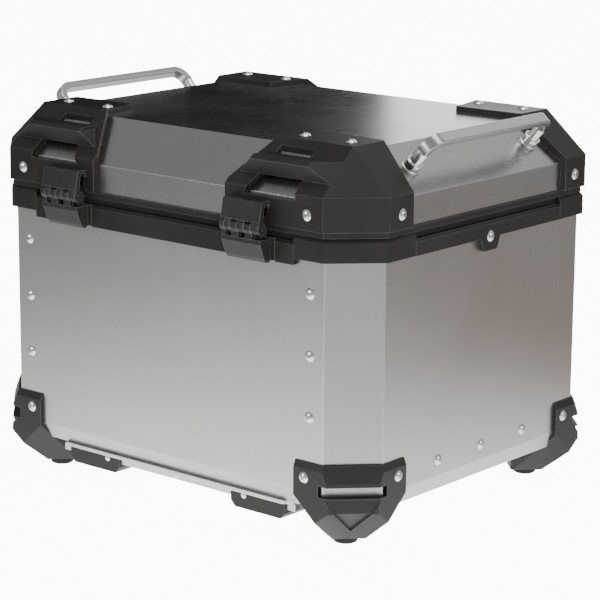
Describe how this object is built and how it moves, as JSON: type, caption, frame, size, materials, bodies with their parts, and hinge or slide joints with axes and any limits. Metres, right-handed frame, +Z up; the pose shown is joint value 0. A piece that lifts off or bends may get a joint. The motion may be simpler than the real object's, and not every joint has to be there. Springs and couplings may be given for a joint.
{
  "type": "motorcycle top case",
  "caption": "Hinged-lid aluminium motorcycle top case with cut corners, two draw latches, lid carry handles and moulded corner covers.",
  "frame": {"origin": "on the ground plane under the middle of the case", "axes": "+X along the long side, the latches face -Y, the hinges are at +Y, +Z up"},
  "size_m": [0.4384, 0.3794, 0.3392],
  "materials": {
    "body_aluminium": "brushed",
    "lid_aluminium": "brushed",
    "inlay_aluminium": "ribbed",
    "tray_aluminium": "satin",
    "handle_aluminium": "brushed",
    "polished_steel": "polished",
    "fastener_steel": "polished",
    "pin_steel": "ground",
    "hinge_alloy": "satin black powder coat",
    "cover_plastic": "fine texture",
    "black_plastic": "fine texture",
    "latch_plastic": "satin",
    "foot_rubber": "matt",
    "seal_rubber": "matt"
  },
  "bodies": {
    "case": {"base_tray": "tray_aluminium", "base_tray_screws": "fastener_steel", "floor_panel": "body_aluminium", "front_left_corner_protector": "black_plastic", "front_left_rim_corner": "black_plastic", "front_panel": "body_aluminium", "front_right_corner_protector": "black_plastic", "front_right_rim_corner": "black_plastic", "front_rim": "black_plastic", "hinge_body_leaves": "hinge_alloy", "hinge_body_rivets": "fastener_steel", "hinge_pins": "pin_steel", "latch_base_rivets": "fastener_steel", "left_latch_base": "latch_plastic", "left_latch_base_pin": "pin_steel", "left_rim": "black_plastic", "left_side_panel": "body_aluminium", "mount_shoes": "black_plastic", "panel_rivets": "fastener_steel", "protector_rivets": "fastener_steel", "rear_left_corner_protector": "black_plastic", "rear_left_rim_corner": "black_plastic", "rear_panel": "body_aluminium", "rear_right_corner_protector": "black_plastic", "rear_right_rim_corner": "black_plastic", "rear_rim": "black_plastic", "right_latch_base": "latch_plastic", "right_latch_base_pin": "pin_steel", "right_rim": "black_plastic", "right_side_panel": "body_aluminium", "rim_rivets": "fastener_steel", "rubber_feet": "foot_rubber", "side_rivets": "fastener_steel"},
    "lid": {"cover_rivets": "fastener_steel", "cover_top_screws": "fastener_steel", "front_left_cover": "cover_plastic", "front_right_cover": "cover_plastic", "handle_nuts": "fastener_steel", "handle_standoffs": "polished_steel", "hinge_lid_leaves": "hinge_alloy", "hinge_lid_rivets": "fastener_steel", "latch_keepers": "pin_steel", "left_handle_bar": "handle_aluminium", "lid_frame": "black_plastic", "lid_seal": "seal_rubber", "lid_shell": "lid_aluminium", "rear_left_cover": "cover_plastic", "rear_right_cover": "cover_plastic", "ribbed_inlays": "inlay_aluminium", "right_handle_bar": "handle_aluminium"},
    "left_latch_lever": {"left_latch_lever": "latch_plastic", "left_latch_hook_pin": "pin_steel"},
    "left_latch_hook": {"left_latch_hook": "latch_plastic"},
    "right_latch_lever": {"right_latch_lever": "latch_plastic", "right_latch_hook_pin": "pin_steel"},
    "right_latch_hook": {"right_latch_hook": "latch_plastic"}
  },
  "joints": [
    {"name": "lid_hinge", "type": "hinge", "parent": "case", "child": "lid", "pos_m": [0, 0.1857, 0.264], "axis": [-1, 0, 0], "range_deg": [0, 100]},
    {"name": "left_latch_lever_pivot", "type": "hinge", "parent": "case", "child": "left_latch_lever", "pos_m": [-0.1034, -0.1752, 0.263], "axis": [-1, 0, 0], "range_deg": [0, 50]},
    {"name": "left_latch_hook_pivot", "type": "hinge", "parent": "left_latch_lever", "child": "left_latch_hook", "pos_m": [-0.1034, -0.1849, 0.2647], "axis": [1, 0, 0], "range_deg": [0, 90]},
    {"name": "right_latch_lever_pivot", "type": "hinge", "parent": "case", "child": "right_latch_lever", "pos_m": [0.1034, -0.1752, 0.263], "axis": [-1, 0, 0], "range_deg": [0, 50]},
    {"name": "right_latch_hook_pivot", "type": "hinge", "parent": "right_latch_lever", "child": "right_latch_hook", "pos_m": [0.1034, -0.1849, 0.2647], "axis": [1, 0, 0], "range_deg": [0, 90]}
  ],
  "couplings": [
    {"joint": "left_latch_hook_pivot", "follows": "left_latch_lever_pivot", "ratio": 1.8},
    {"joint": "right_latch_hook_pivot", "follows": "right_latch_lever_pivot", "ratio": 1.8}
  ]
}
